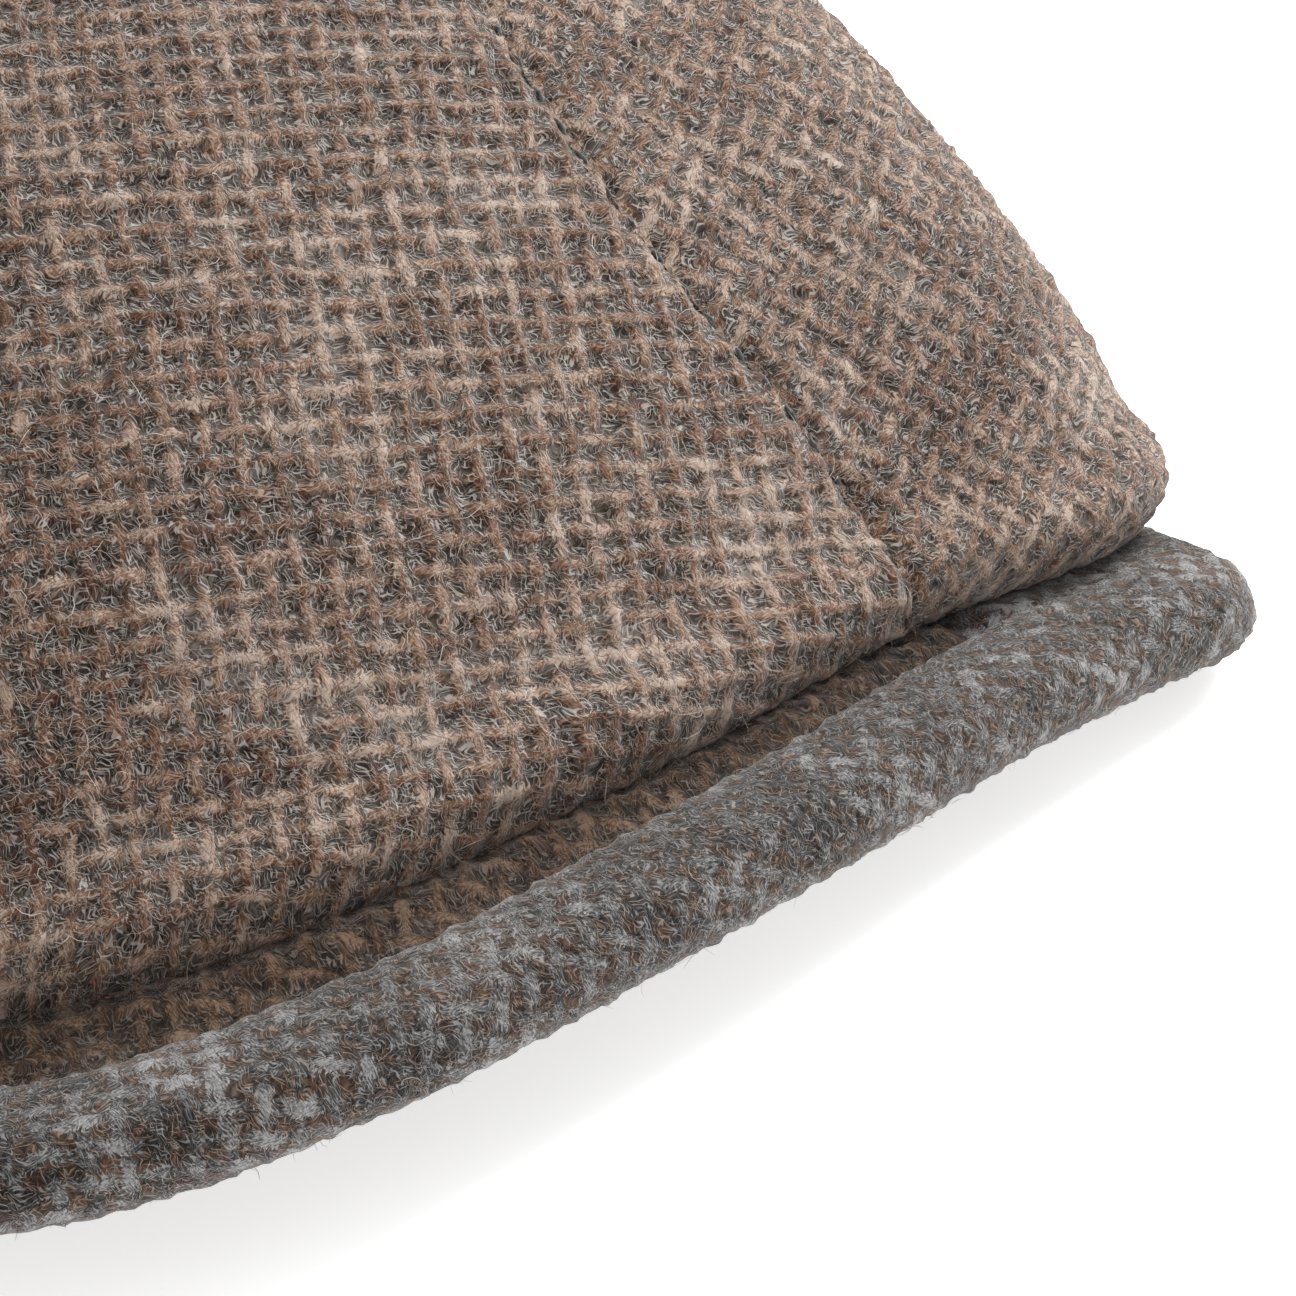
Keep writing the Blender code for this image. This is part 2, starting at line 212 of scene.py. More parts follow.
def turn_spot(turn, length=1.0):
    """The disc spot in a direction, a length from the middle."""
    angle = np.radians(turn)
    return np.stack([np.sin(angle) * length, -np.cos(angle) * length], -1)


def spot_over(x, y):
    """The disc spot of the dome's point over a place on the ground."""
    turn, reach = math.degrees(math.atan2(x, -y)), math.hypot(x, y)
    climbs = np.linspace(1.0, 0.0, CLIMB_STEPS)
    reaches = meridian(np.full_like(climbs, turn), climbs)[0]
    first = int(np.argmax(reaches >= reach))
    return turn_spot(turn, 1 - climbs[first])


def seam_line():
    """Close spots along the seam, from the front to the back."""
    spots = [turn_spot(SEAM_FRONT_TURN)]
    for across, along in SEAM:
        reach = CROWN_FRONT_REACH if along < 0 else RIM_BACK_REACH
        spots.append(spot_over(across * RIM_HALF_WIDTH, along * reach))
    spots.append(turn_spot(SEAM_BACK_TURN))
    spots = np.array(spots)
    knots = np.linspace(0, 1, len(spots))
    close = np.linspace(0, 1, SEAM_STEPS)
    return np.stack([curve_through(knots, spots[:, k], close) for k in (0, 1)], -1)


SEAM_SPOTS = seam_line()


# Nets that follow the yarns

NET_ROUNDS = 4
LONGEST_STEP = 0.03
MIDDLE_STEPS = 1500
SPARE_ROWS = 2
DISC_LENGTH = 2.2
TIP_PLACES = (0.0, 0.2, 0.35, 0.5, 0.65, 0.8, 1.0)
TIP_ANGLES = (57.0, 50.0, 33.0, 6.0, -22.0, -58.0, -90.0)
TOP_COLUMNS = 118
FRONT_SHEAR = 0.27
FRONT_SHEAR_REACH = 0.016
SIDE_START = (90.0, 0.56)
SIDE_ROWS = (196, 236)
SIDE_COLUMNS = (104, 100)
SIDE_GRAIN = math.radians(7)
SEAM_LAP = 0.0025


def on_both(spots, normals, offsets, others, other_offsets):
    """The dome's points that lie on two planes each, found from spots near them."""
    spots = spots.copy()
    for _ in range(NET_ROUNDS):
        here = dome(spots)
        miss = ((here * normals).sum(-1) - offsets, (here * others).sum(-1) - other_offsets)
        aside, back = (step / (2 * SLOPE_STEP) for step in dome_steps(spots))
        a, b = (aside * normals).sum(-1), (back * normals).sum(-1)
        c, d = (aside * others).sum(-1), (back * others).sum(-1)
        whole = a * d - b * c
        whole = np.where(np.abs(whole) < TINY, TINY, whole)
        step = np.stack([(d * miss[0] - b * miss[1]) / whole, (a * miss[1] - c * miss[0]) / whole], -1)
        spots -= np.clip(step, -LONGEST_STEP, LONGEST_STEP)
    return spots


def straight_lines(spots, headings, count, pitch):
    """Straightest lines over the dome: count steps of one pitch from each spot, and their headings."""
    lines, ways = [spots], [headings]
    for _ in range(count):
        here, normal = dome(spots), dome_normal(spots)
        beside = np.cross(normal, headings)
        offsets = (here * beside).sum(-1)
        spots = on_both(spots, beside, offsets, headings, (here * headings).sum(-1) + pitch)
        normal = dome_normal(spots)
        headings = unit(headings - normal * (headings * normal).sum(-1, keepdims=True))
        lines.append(spots)
        ways.append(headings)
    return np.array(lines), np.array(ways)


def slices(spots, planes, columns, drift):
    """Lines in which planes cut the dome, stepped from each spot by one column of the net at a time."""
    offsets = (dome(spots) * planes).sum(-1)
    across = np.array([1.0, 0.0, 0.0])
    lines = []
    for column in columns:
        spots = on_both(spots, planes, offsets, across, column * CELL + drift)
        lines.append(spots)
    return np.array(lines)


def top_net():
    """The top panel's net: weft lines in planes that tip over from the front to the back."""
    climbs = np.linspace(0, 1, MIDDLE_STEPS)
    front = turn_spot(np.zeros_like(climbs), 1 - climbs)
    back = turn_spot(np.full_like(climbs, 180.0), climbs)
    middle = np.concatenate([front, back[1:]])
    run = distance_along(dome(middle))
    rows = np.arange(-SPARE_ROWS, int(run[-1] / CELL) + 2 + SPARE_ROWS)
    at = rows * CELL
    y = np.interp(at, run, middle[:, 1])
    y = np.where(at < 0, -1 + at / run[-1] * DISC_LENGTH, y)
    y = np.where(at > run[-1], 1 + (at - run[-1]) / run[-1] * DISC_LENGTH, y)
    spots = np.stack([np.zeros_like(y), y], -1)
    tip = np.radians(curve_through(TIP_PLACES, TIP_ANGLES, np.clip(at / run[-1], 0, 1)))
    planes = np.stack([np.zeros_like(tip), np.cos(tip), np.sin(tip)], -1)
    drift = -FRONT_SHEAR * np.maximum(FRONT_SHEAR_REACH - at, 0) ** 2 / (2 * FRONT_SHEAR_REACH)
    right = slices(spots, planes, range(0, -TOP_COLUMNS - 1, -1), drift)
    left = slices(spots, planes, range(1, TOP_COLUMNS + 1), drift)
    spots = np.concatenate([right[::-1], left]).transpose(1, 0, 2)
    columns = np.arange(-TOP_COLUMNS, TOP_COLUMNS + 1)
    return spots, np.stack(np.meshgrid(columns / CELLS, rows / CELLS), -1)


def side_net():
    """The side panel's net: a straight line round the side, and straight lines up and down from it."""
    start = turn_spot(np.array([SIDE_START[0]]), SIDE_START[1])
    normal = dome_normal(start)
    forward = np.array([[0.0, -math.cos(SIDE_GRAIN), math.sin(SIDE_GRAIN)]])
    forward = unit(forward - normal * (forward * normal).sum(-1, keepdims=True))
    ahead, ahead_ways = straight_lines(start, forward, SIDE_ROWS[0], CELL)
    behind, behind_ways = straight_lines(start, -forward, SIDE_ROWS[1], CELL)
    spots = np.concatenate([ahead[:0:-1, 0], behind[:, 0]])
    ways = np.concatenate([-ahead_ways[:0:-1, 0], behind_ways[:, 0]])
    up = unit(np.cross(dome_normal(spots), ways))
    up *= np.where(up[:, 2:] < 0, -1.0, 1.0)
    above, _ = straight_lines(spots, up, SIDE_COLUMNS[0], CELL)
    below, _ = straight_lines(spots, -up, SIDE_COLUMNS[1], CELL)
    net = np.concatenate([below[:0:-1], above]).transpose(1, 0, 2)
    rows = np.arange(-SIDE_ROWS[0], SIDE_ROWS[1] + 1)
    columns = np.arange(-SIDE_COLUMNS[1], SIDE_COLUMNS[0] + 1)
    return net, np.stack(np.meshgrid(columns / CELLS, rows / CELLS), -1)


def seam_across(y):
    """How far across the disc the seam lies at these places along it."""
    return np.interp(y, SEAM_SPOTS[:, 1], SEAM_SPOTS[:, 0])


def inside_top(spots):
    """Above zero inside the top panel, on the disc."""
    x, y = np.abs(spots[..., 0]), spots[..., 1]
    seam = seam_across(y) - x + SEAM_LAP
    ends = (y < SEAM_SPOTS[0, 1]) | (y > SEAM_SPOTS[-1, 1])
    rim = 1 - np.hypot(x, y)
    return np.where(ends, rim, np.minimum(seam, rim))


def inside_side(spots):
    """Above zero inside the wearer's left side panel, on the disc."""
    x, y = spots[..., 0], spots[..., 1]
    seam = x - seam_across(y)
    ends = np.minimum(y - SEAM_SPOTS[0, 1], SEAM_SPOTS[-1, 1] - y)
    return np.minimum(np.minimum(seam, ends) + SEAM_LAP, 1 - np.hypot(x, y))


def trimmed(spots, counts, inside):
    """The net cut to its panel: points just outside move onto the edge, and the rest outside go."""
    level = inside(spots)
    within = level > 0
    net = np.concatenate([spots, counts], -1)
    total, hits = np.zeros_like(net), np.zeros(level.shape)
    for di, dj in ((0, 1), (0, -1), (1, 0), (-1, 0)):
        near, near_level, near_net = (np.roll(one, (di, dj), (0, 1)) for one in (within, level, net))
        border = np.zeros_like(within)
        border[max(di, 0) : level.shape[0] + min(di, 0), max(dj, 0) : level.shape[1] + min(dj, 0)] = True
        cut = border & ~within & near
        share = np.where(cut, near_level / np.maximum(near_level - level, TINY), 0.0)[..., None]
        total += np.where(cut[..., None], near_net + (net - near_net) * share, 0.0)
        hits += cut
    moved = hits > 0
    net = np.where(moved[..., None], total / np.maximum(hits, 1)[..., None], net)
    return net[..., :2], net[..., 2:], within | moved


def faces_of(kept):
    """Cells of the net whose corners are kept, as corners counted over the kept points."""
    number = np.full(kept.shape, -1)
    number[kept] = np.arange(kept.sum())
    corners = np.stack([number[:-1, :-1], number[:-1, 1:], number[1:, 1:], number[1:, :-1]], -1)
    corners = corners.reshape(-1, 4)
    whole = corners[(corners >= 0).all(1)]
    three = corners[(corners >= 0).sum(1) == 3]
    return whole, three[three >= 0].reshape(-1, 3)


# Relief

YARN_RISE = 0.00026
WELL_DEPTH = 0.00034
YARN_SPREAD = 0.23
YARN_LEVEL, YARN_WAVE = 0.68, 0.32
YARN_UNEVEN = 0.35
CROSSING_RISE = 0.25
ROUGH_RISE = 0.25
WIDE_WANDER, FINE_WANDER = 0.16, 0.09
DENT_SIZE = 0.030
DENT_DEPTH = 0.0004
SLACK_DEPTH = 0.0018
SLACK_START, SLACK_SPAN = -0.03, 0.10


def lattice_noise(u, v, seed):
    """Smooth noise from -1 to 1 over the plane, one bump to a unit, the same each time."""
    cell_u, cell_v = np.floor(u), np.floor(v)
    part_u, part_v = u - cell_u, v - cell_v
    part_u, part_v = part_u**2 * (3 - 2 * part_u), part_v**2 * (3 - 2 * part_v)

    def corner(du, dv):
        mixed = np.sin((cell_u + du) * 127.1 + (cell_v + dv) * 311.7 + seed * 74.7) * 43758.5453
        return (mixed - np.floor(mixed)) * 2 - 1

    low = corner(0, 0) * (1 - part_u) + corner(1, 0) * part_u
    high = corner(0, 1) * (1 - part_u) + corner(1, 1) * part_u
    return low * (1 - part_v) + high * part_v


def wander(counts, seed):
    """The yarns don't run quite straight: the repeats' counts, shifted a little."""
    u, v = counts[..., 0], counts[..., 1]
    du = WIDE_WANDER * lattice_noise(u * 0.45, v * 0.30, seed)
    dv = WIDE_WANDER * lattice_noise(u * 0.30, v * 0.45, seed + 2)
    du += FINE_WANDER * lattice_noise(u, v * 1.3, seed + 1)
    dv += FINE_WANDER * lattice_noise(u * 1.3, v, seed + 3)
    return np.stack([u + du, v + dv], -1)


def weave_height(counts, seed):
    """Height of the cloth's face over its middle, a yarn's rise at the yarns and less in the wells."""
    u, v = counts[..., 0], counts[..., 1]
    near_u, near_v = np.round(u), np.round(v)
    off_u, off_v = u - near_u, v - near_v
    warp = np.exp(-((off_u / YARN_SPREAD) ** 2)) * (YARN_LEVEL + YARN_WAVE * np.cos(math.pi * (v + near_u)))
    weft = np.exp(-((off_v / YARN_SPREAD) ** 2)) * (YARN_LEVEL - YARN_WAVE * np.cos(math.pi * (u + near_v)))
    warp *= 1 + YARN_UNEVEN * lattice_noise(near_u * 3.7, v * 0.6, seed + 5)
    weft *= 1 + YARN_UNEVEN * lattice_noise(u * 0.6, near_v * 3.7, seed + 6)
    high = np.maximum(warp, weft) + CROSSING_RISE * np.minimum(warp, weft)
    rough = ROUGH_RISE * lattice_noise(u * 2.1, v * 2.1, seed + 8)
    return (YARN_RISE + WELL_DEPTH) * np.clip(high + rough, -0.2, 1.3) - WELL_DEPTH


def soft_dents(points):
    """Slow swells of the resting cloth, the same on both sides of a seam, and deeper at the back."""
    x, y, z = (points[..., k] / DENT_SIZE for k in range(3))
    x = np.sqrt(x * x + 0.25)
    swell = lattice_noise(x + z * 0.7, y, 3) + lattice_noise(x + 5.2, y * 0.6 + z, 12)
    slack = np.clip((points[..., 1] - SLACK_START) / SLACK_SPAN, 0, 1)
    return (DENT_DEPTH + (SLACK_DEPTH - DENT_DEPTH) * slack) * swell


# The crown's edges and seams

SEAM_POINTS = dome(SEAM_SPOTS)
NEAR_SEAM = 0.006
SEAM_ROLL = 0.0017
SEAM_DEPTH = 0.0009
SEAM_CALM = 0.75
RIM_ROLL = 0.0011
FRONT_ROLL = 0.0040
FRONT_ROLL_DEPTH = 0.0022
FRONT_BULGE = 0.0016
FRONT_BULGE_REACH = 0.010
FRONT_ROLL_TURNS = (52.0, 66.0)


def seam_distance(points):
    """Distance of each point from the wearer's left seam, where it is near."""
    low, high = SEAM_POINTS.min(0) - NEAR_SEAM, SEAM_POINTS.max(0) + NEAR_SEAM
    tree = KDTree(len(SEAM_POINTS))
    for k, point in enumerate(SEAM_POINTS):
        tree.insert(point, k)
    tree.balance()
    found = np.full(len(points), NEAR_SEAM)
    for k in np.nonzero(((points > low) & (points < high)).all(1))[0]:
        found[k] = min(tree.find(points[k])[2], NEAR_SEAM)
    return found


def rounded(distance, reach, depth):
    """How far a rolled edge lies under the face, a distance in from its end."""
    share = np.clip(1 - distance / reach, 0, 1)
    return depth * (1 - np.sqrt(np.maximum(1 - share**2, 0)))


def edge_depth(spots, points, seam_near):
    """Depth of the cloth near the seams, the rim and the front edge, which swells and rolls under."""
    half = CLOTH / 2
    first, last = FRONT_ROLL_TURNS
    front = 1 - np.clip((np.abs(turn_of(spots)) - first) / (last - first), 0, 1)
    foot = spots / np.maximum(np.linalg.norm(spots, axis=-1, keepdims=True), TINY)
    rim = np.linalg.norm(dome(foot) - points, axis=-1)
    depth = rounded(rim, RIM_ROLL + (FRONT_ROLL - RIM_ROLL) * front, half + (FRONT_ROLL_DEPTH - half) * front)
    bulge = np.sin(math.pi * np.clip(rim / FRONT_BULGE_REACH, 0, 1)) ** 2 * front * FRONT_BULGE
    share = np.clip(1 - seam_near / SEAM_ROLL, 0, 1)
    return np.maximum(depth, SEAM_DEPTH * share**1.5) - bulge


# The crown's cloths

Layer = namedtuple("Layer", "places counts faces outer")


def placed(name, data):
    """A new object in the scene, at the origin."""
    made = bpy.data.objects.new(name, data)
    bpy.context.scene.collection.objects.link(made)
    return made


def panel(name, net, inside, side, seed):
    """A panel of the crown: its face on the fine net, and its reverse on every fourth line of it."""
    spots, counts = net
    layers = []
    for every, outer in ((1, True), (CELLS, False)):
        cut_spots, cut_counts, kept = trimmed(spots[::every, ::every], counts[::every, ::every], inside)
        flat_spots, flat_counts = cut_spots[kept], wander(cut_counts[kept], seed)
        points, normals = dome(flat_spots), dome_normal(flat_spots)
        seam_near = seam_distance(points)
        if not side:
            seam_near = np.minimum(seam_near, seam_distance(points * (-1, 1, 1)))
        depth = edge_depth(flat_spots, points, seam_near)
        lift = soft_dents(points) - depth
        if outer:
            calm = np.clip(seam_near / SEAM_ROLL, SEAM_CALM, 1)
            lift = lift + weave_height(flat_counts, seed) * calm
        else:
            lift = lift - CLOTH + np.clip(2 * depth, 0, CLOTH)
        places = points + normals * lift[:, None]
        places[:, 2] = np.maximum(places[:, 2], 0.0)
        layers.append(Layer(places, flat_counts, faces_of(kept), outer))
    if not side:
        return [layered_mesh(name, layers, 1)]
    return [layered_mesh(f"{name}_{word}", layers, mirror) for word, mirror in (("left", 1), ("right", -1))]


def open_edge(polygons):
    """The points round a patch's open edge, in the order in which its faces run past them."""
    ways = set()
    for polygon in polygons:
        ways.update(zip(polygon, polygon[1:] + polygon[:1]))
    after = {one: other for one, other in ways if (other, one) not in ways}
    start = min(after)
    loop = [start]
    while after[loop[-1]] != start:
        loop.append(after[loop[-1]])
    return loop


def rim_faces(outer, inner, places):
    """Triangles from a face's open edge to the open edge of its reverse, which has fewer points."""
    inner = inner[::-1]
    nearest = np.linalg.norm(places[inner] - places[outer[0]], axis=-1).argmin()
    inner = inner[nearest:] + inner[:nearest]
    runs = []
    for loop in (outer, inner):
        run = distance_along(places[loop + loop[:1]])
        runs.append(run / run[-1])
    faces, i, j = [], 0, 0
    while i < len(outer) or j < len(inner):
        one, other = outer[i % len(outer)], inner[j % len(inner)]
        if j >= len(inner) or (i < len(outer) and runs[0][i + 1] <= runs[1][j + 1]):
            faces.append([outer[(i + 1) % len(outer)], one, other])
            i += 1
        else:
            faces.append([one, other, inner[(j + 1) % len(inner)]])
            j += 1
    return faces


def layered_mesh(name, layers, mirror):
    """One closed mesh of a cloth's face and its reverse, with the weave's counts as a UV map."""
    points, polygons, uv, finishes, edges = [], [], [], [], []
    start = 0
    for layer in layers:
        own = []
        for faces in layer.faces:
            faces = faces + start
            turned = faces[:, ::-1] if (mirror == 1) != layer.outer else faces
            own.extend(turned.tolist())
        edges.append(open_edge(own))
        polygons.extend(own)
        finishes.extend([0 if layer.outer else 1] * len(own))
        points.append(layer.places * (mirror, 1, 1) + OPENING)
        uv.append(layer.counts)
        start += len(layer.places)
    points = np.concatenate(points)
    rim = rim_faces(*edges, points)
    return cloth_mesh(name, points, polygons + rim, np.concatenate(uv), finishes + [1] * len(rim))


def cloth_mesh(name, points, polygons, counts, finishes):
    """A mesh with the weave's counts as a UV map, and 0 for the face or 1 for the reverse at each polygon."""
    mesh = bpy.data.meshes.new(name)
    mesh.from_pydata(points.tolist(), [], polygons)
    layer = mesh.uv_layers.new(name="weave")
    corners = np.empty(len(mesh.loops), np.int64)
    mesh.loops.foreach_get("vertex_index", corners)
    layer.data.foreach_set("uv", counts[corners].astype(np.float32).ravel())
    mesh.polygons.foreach_set("material_index", np.array(finishes, np.int32))
    mesh.shade_smooth()
    mesh.update()
    return placed(name, mesh)


# The thread along the seams

STITCH_PITCH = 0.0030
STITCH_LENGTH = 0.0023
STITCH_RADIUS = 0.00022
STITCH_SINK = 0.0005
STITCH_SIDES = 5
STITCH_RINGS = 5


def seam_stitches():
    """The dark thread that shows along both seams: a row of short tubes whose ends go into the cloth."""
    run = distance_along(SEAM_POINTS)
    starts = np.arange(STITCH_PITCH, run[-1] - STITCH_PITCH, STITCH_PITCH)
    share = np.linspace(0, 1, STITCH_RINGS)
    places = starts[:, None] + STITCH_LENGTH * share
    spots = np.stack([np.interp(places.ravel(), run, SEAM_SPOTS[:, k]) for k in (0, 1)], -1)
    points, normals = dome(spots), dome_normal(spots)
    arch = np.tile(np.sin(math.pi * share), len(starts))
    lift = soft_dents(points) - SEAM_DEPTH + STITCH_RADIUS + STITCH_SINK * (arch - 1)
    middle = (points + normals * lift[:, None]).reshape(len(starts), STITCH_RINGS, 3)
    normals = normals.reshape(middle.shape)
    across = unit(np.cross(normals, unit(middle[:, -1:] - middle[:, :1])))
    angle = np.linspace(0, TAU, STITCH_SIDES, endpoint=False)[:, None]
    radius = STITCH_RADIUS * (0.5 + 0.5 * np.sin(math.pi * share))[None, :, None, None]
    ring = across[:, :, None] * np.cos(angle) + normals[:, :, None] * np.sin(angle)
    rings = (middle[:, :, None] + ring * radius).reshape(-1, 3)
    number = np.arange(len(rings)).reshape(len(starts), STITCH_RINGS, STITCH_SIDES)
    after = np.roll(number, -1, 2)
    quads = np.stack([number[:, :-1], after[:, :-1], after[:, 1:], number[:, 1:]], -1).reshape(-1, 4)
    ends = np.concatenate([number[:, 0, ::-1], number[:, -1]])
    points = np.concatenate([rings, rings * (-1, 1, 1)]) + OPENING
    polygons = quads.tolist() + ends.tolist()
    polygons += (quads[:, ::-1] + len(rings)).tolist() + (ends[:, ::-1] + len(rings)).tolist()
    return cloth_mesh("seam_stitches", points, polygons, points[:, :2] / REPEAT, [0] * len(polygons))


# The peak

OUTLINE_STEPS = 4001
CREASE_ROUNDS = 16
VALLEY_DEPTH = 0.0022
VALLEY_WIDTH = 0.006
VALLEY_LEAN = 0.6
COVER_END_TURNS = (34.5, 37.0)
BED_DEPTH = PEAK_COVER_CLOTH + 0.0003
BAND_MOST = 0.6
BAND_CROWN = 0.0004
BAND_FOLD = 0.0014
BAND_FOLD_DEPTH = 0.0007
BAND_STEP = 0.0001
COVER_GAP = 0.0005
COVER_FINE = 0.012
COVER_FOLD = 0.0012
COVER_FOLD_DEPTH = 0.0004
INNER_FINE = 0.006
HIDDEN_SPAN = 0.033
HIDDEN_PITCH = 0.004
UNDER_SPAN = 0.045
UNDER_PITCH = 3 * CELL
PEAK_RELIEF = 0.55
PEAK_SEED = 71
COVER_SEED = 93


def peak_top_height(spots):
    """Height of the peak's top, which carries the crown's lower edge."""
    return lower_edge(turn_of(spots))[1] - CROWN_TO_PEAK_GAP


def peak_ends(turn):
    """Inner and outer ends of the peak's sections."""
    mirrored = [(-turn, -across, along) for turn, across, along in PEAK[2:0:-1]]
    knots, across, along = zip(*mirrored, *PEAK)
    angle, side = np.radians(np.abs(turn)), np.where(turn < 0, -1.0, 1.0)
    reach = 1 / np.hypot(np.sin(angle) / OPENING_HALF_WIDTH, np.cos(angle) / OPENING_FRONT_REACH)
    inner = np.stack([side * reach * np.sin(angle), -reach * np.cos(angle)], -1)
    outer_x = curve_through(knots, across, np.abs(turn)) * PEAK_HALF_WIDTH
    outer_y = curve_through(knots, along, np.abs(turn)) * PEAK_REACH
    return inner, np.stack([side * outer_x, outer_y], -1)


def even_turns(last, pitch):
    """Turns at which the peak's outer edge is cut into even steps."""
    close = np.linspace(0, last, OUTLINE_STEPS)
    run = distance_along(peak_ends(close)[1])
    half = np.interp(np.linspace(0, run[-1], int(run[-1] / pitch) + 1), run, close)
    return np.concatenate([-half[:0:-1], half])


def shares(span, pitch):
    """Shares of a span in steps of about a pitch, without the last."""
    return np.linspace(0, 1, max(2, int(span / pitch)) + 1)[:-1]


def grid_normals(points):
    """The ways out of a lofted grid of points."""
    along = np.gradient(points, axis=0)
    across = np.gradient(points, axis=1)
    return unit(np.cross(across, along))


def valley(from_edge, band, crease):
    """Depth of the hollow between the band and the crown, a distance in from the peak's edge."""
    share = np.clip((from_edge - band) / np.maximum(crease - band, 1e-5), 0, 1)
    wide = np.clip((crease - band) / VALLEY_WIDTH, 0, 1)
    return VALLEY_DEPTH * wide * np.sin(math.pi * share**VALLEY_LEAN)


def crease_reach(outer, inwards, length):
    """How far in from the peak's edge the crown's lower edge lies."""
    low, high = np.zeros_like(length), length.copy()
    for _ in range(CREASE_ROUNDS):
        half = (low + high) / 2
        spots = outer + inwards * half[:, None]
        outside = np.hypot(spots[:, 0], spots[:, 1]) > lower_edge(turn_of(spots))[0]
        low, high = np.where(outside, half, low), np.where(outside, high, half)
    return low


def peak_sections(last):
    """The peak's sections up to a turn: turns, outer ends, ways in, lengths and places of the crease."""
    turns = even_turns(last, CELL)
    inner, outer = peak_ends(turns)
    length = np.linalg.norm(inner - outer, axis=-1)
    inwards = (inner - outer) / length[:, None]
    return turns, outer, inwards, length, crease_reach(outer, inwards, length)


def across_peak(outer, inwards, distance):
    """Spots on the peak, distances in from the outer ends of its sections."""
    return outer[:, None] + inwards[:, None] * distance[..., None]


def cover_ended(turns):
    """How far the cover has sunk into the peak towards its ends, from 0 to 1."""
    first, last = COVER_END_TURNS
    return np.clip((np.abs(turns) - first) / (last - first), 0, 1)


def peak_cloth():
    """The padded peak: its bed under the cover, the band that turns over its edge, and its underside."""
    turns, outer, inwards, length, crease = peak_sections(PEAK_LAST_TURN)
    radius = np.minimum(PEAK_THICKNESS, peak_top_height(outer)) / 2
    band = np.minimum(PEAK_BAND_WIDTH, BAND_MOST * length)
    bed = BED_DEPTH * (1 - cover_ended(turns))
    fine_end = band + np.minimum(INNER_FINE, 0.5 * (length - band))
    hidden = shares(HIDDEN_SPAN, HIDDEN_PITCH)
    rows = []

    def add(share, start, stop):
        from_edge = start + (stop - start) * share
        rows.append((from_edge, bed + valley(from_edge, band, crease), from_edge))

    for share in hidden:
        add(share, length, fine_end)
    for share in shares(INNER_FINE, CELL):
        add(share, fine_end, band)
    rows.append((band + BAND_STEP, bed, band))
    for share in shares(PEAK_BAND_WIDTH - PEAK_THICKNESS / 2, CELL):
        from_edge = band + (radius - band) * share
        folded = rounded(band - from_edge, BAND_FOLD, BAND_FOLD_DEPTH) * np.clip(bed / BED_DEPTH, 0.25, 1)
        crowned = BAND_CROWN * np.sin(math.pi * np.clip(share * 0.9 + 0.1, 0, 1))
        rows.append((from_edge, folded - crowned, from_edge))
    edge_rows = int(math.pi * PEAK_THICKNESS / 2 / CELL)
    for k in range(edge_rows + 1):
        angle = math.pi * k / edge_rows
        rows.append((radius * (1 - math.sin(angle)), radius * (1 - math.cos(angle)), radius * (1 - angle)))
    first_under = len(rows) - 1
    for share in np.append(shares(UNDER_SPAN, UNDER_PITCH)[1:], 1.0):
        from_edge = radius + (length - radius) * share
        rows.append((from_edge, PEAK_THICKNESS + 0 * radius, radius * (1 - math.pi) - (from_edge - radius)))

    from_edge, depth, unrolled = (np.stack([row[k] for row in rows], 1) for k in range(3))
    spots = across_peak(outer, inwards, from_edge)
    top = peak_top_height(spots)
    depth = np.minimum(depth, np.minimum(PEAK_THICKNESS, top))
    points = np.concatenate([spots, (top - depth)[..., None]], -1)
    counts = wander(across_peak(outer, inwards, unrolled) / REPEAT, PEAK_SEED)
    relief = weave_height(counts, PEAK_SEED) * PEAK_RELIEF
    relief[:, : len(hidden)] = 0.0
    points += grid_normals(points) * relief[..., None]
    points[..., 2] = np.maximum(points[..., 2], 0.0)
    return lofted("peak_cloth", points, counts, (len(hidden), first_under))


def cover_cloth():
    """The brown cloth on the peak's top: fine where it shows, and plain under the crown."""
    turns, outer, inwards, length, crease = peak_sections(PEAK_COVER_TURN)
    start = PEAK_BAND_WIDTH + COVER_GAP
    fine_end = start + COVER_FINE
    sink = PEAK_COVER_CLOTH * cover_ended(turns)
    hidden = shares(length.max() - fine_end, HIDDEN_PITCH)
    rows = []
    for share in hidden:
        rows.append((length + (fine_end - length) * share, 0.0))
    for share in np.append(shares(COVER_FINE, CELL), 1.0):
        from_edge = fine_end + (start - fine_end) * share + 0 * length
        rows.append((from_edge, rounded(from_edge[0] - start, COVER_FOLD, COVER_FOLD_DEPTH)))
    rows.append((start + 0 * length, PEAK_COVER_CLOTH))
    rows.append((length, PEAK_COVER_CLOTH))
    from_edge = np.stack([row[0] for row in rows], 1)
    depth = np.stack([row[1] + sink for row in rows], 1)
    depth += valley(from_edge, PEAK_BAND_WIDTH, crease[:, None])
    spots = across_peak(outer, inwards, from_edge)
    points = np.concatenate([spots, (peak_top_height(spots) - depth)[..., None]], -1)
    counts = wander(spots / REPEAT, COVER_SEED)
    relief = weave_height(counts, COVER_SEED)
    relief[:, -2:] = 0.0
    points[..., 2] += relief
    return lofted("peak_top_cover_cloth", points, counts, (len(hidden), len(rows) - 2))


